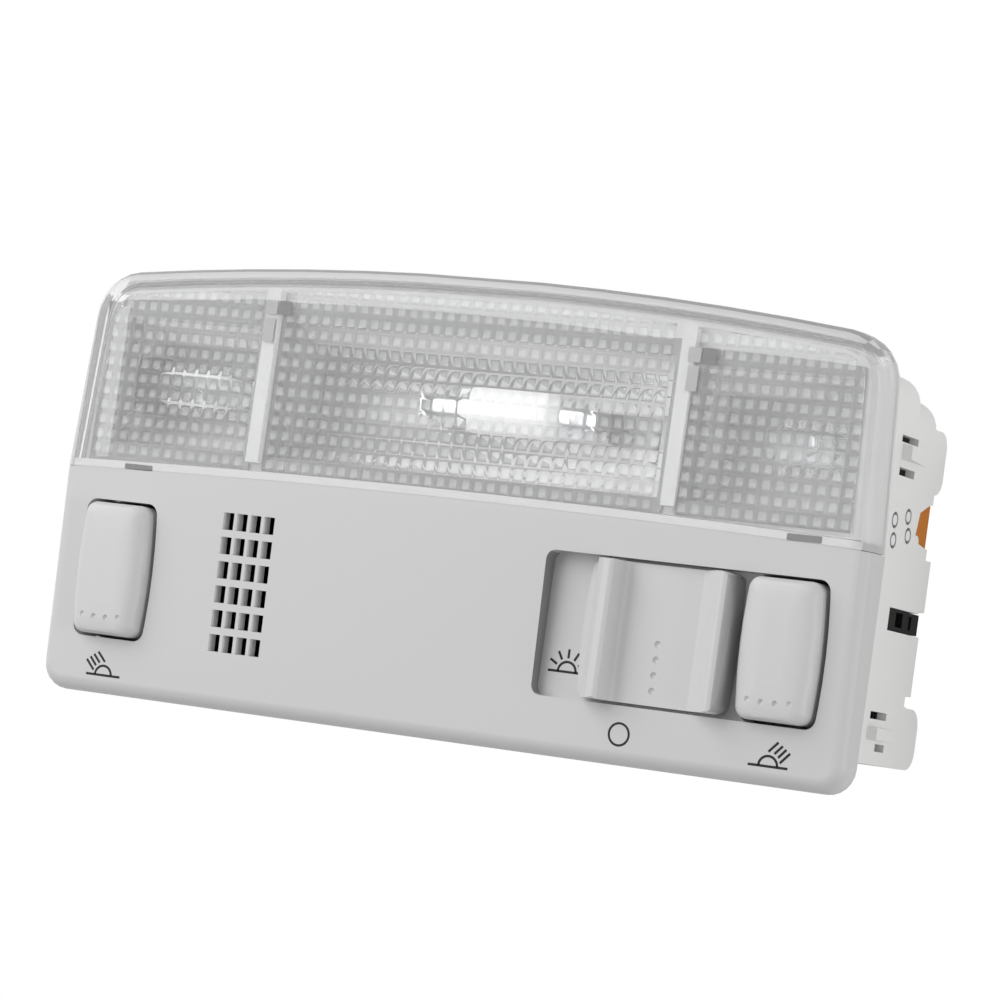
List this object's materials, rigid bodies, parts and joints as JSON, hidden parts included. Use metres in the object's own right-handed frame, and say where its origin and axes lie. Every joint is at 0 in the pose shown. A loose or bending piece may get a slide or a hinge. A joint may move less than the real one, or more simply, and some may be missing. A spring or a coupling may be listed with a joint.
{
  "type": "car dome light",
  "caption": "Overhead car interior lamp: prismatic clear lens over three bulbs, with two push buttons for the reading lamps, a sliding main switch and a microphone grille.",
  "frame": {"origin": "centre of the bounding box's base: the part lies on its back on the ends of its side brackets, face up", "axes": "+X to the face's right, +Y from the bezel towards the arched edge of the lens, +Z out of the face"},
  "size_m": [0.188, 0.0953, 0.0475],
  "materials": {
    "bezel": "fine grained light grey moulding",
    "lens": "clear moulded plastic, smooth outside, prisms inside",
    "housing": "satin pale grey moulding",
    "reflector": "bright metallised",
    "bulb": "clear glass",
    "steel": "plated",
    "brass": "bare stamped",
    "black": "satin black moulding",
    "pale": "natural moulding",
    "amber": "amber moulding"
  },
  "bodies": {
    "lamp": {"bezel": "bezel", "lens": "lens", "rear_housing": "housing", "centre_reflector": "reflector", "left_reflector": "reflector", "right_reflector": "reflector", "dome_bulb_glass": "bulb", "dome_bulb_caps": "steel", "dome_bulb_filament": "steel", "left_bulb_clip": "brass", "right_bulb_clip": "brass", "left_bulb": "bulb", "left_bulb_filament": "steel", "left_bulb_holder": "black", "right_bulb": "bulb", "right_bulb_filament": "steel", "right_bulb_holder": "black", "left_switch": "black", "right_switch": "black", "slider_switch": "black", "slider_contacts": "brass", "grille_screen": "black", "microphone": "steel", "microphone_holder": "black", "lamp_connector": "amber", "lamp_connector_pins": "brass", "switch_connector": "black", "switch_connector_pins": "brass", "feed_strip": "brass", "earth_strip": "brass", "dome_strip": "brass", "left_lamp_strip": "brass", "right_lamp_strip": "brass", "bezel_screws": "steel"},
    "left_button": {"left_rocker": "bezel"},
    "right_button": {"right_rocker": "bezel"},
    "left_plunger": {"left_switch_plunger": "pale"},
    "right_plunger": {"right_switch_plunger": "pale"},
    "slider": {"slider_knob": "bezel", "slider_carriage": "pale", "slider_wiper": "brass"}
  },
  "joints": [
    {"name": "left_button_press", "type": "hinge", "parent": "lamp", "child": "left_button", "pos_m": [-0.07785, -0.0095, 0.036], "axis": [1, 0, 0], "range_deg": [0, 2.5], "stiffness_Nm_per_rad": 0.6, "springref_deg": -1.15},
    {"name": "left_plunger_slide", "type": "slide", "parent": "lamp", "child": "left_plunger", "axis": [0, 0, -1], "range_m": [0, 0.0007]},
    {"name": "right_button_press", "type": "hinge", "parent": "lamp", "child": "right_button", "pos_m": [0.07785, -0.0095, 0.036], "axis": [1, 0, 0], "range_deg": [0, 2.5], "stiffness_Nm_per_rad": 0.6, "springref_deg": -1.15},
    {"name": "right_plunger_slide", "type": "slide", "parent": "lamp", "child": "right_plunger", "axis": [0, 0, -1], "range_m": [0, 0.0007]},
    {"name": "slider_slide", "type": "slide", "parent": "lamp", "child": "slider", "axis": [-1, 0, 0], "range_m": [0, 0.008]}
  ],
  "couplings": [
    {"joint": "left_plunger_slide", "follows": "left_button_press", "m_per_rad": 0.014075},
    {"joint": "right_plunger_slide", "follows": "right_button_press", "m_per_rad": 0.014075}
  ]
}
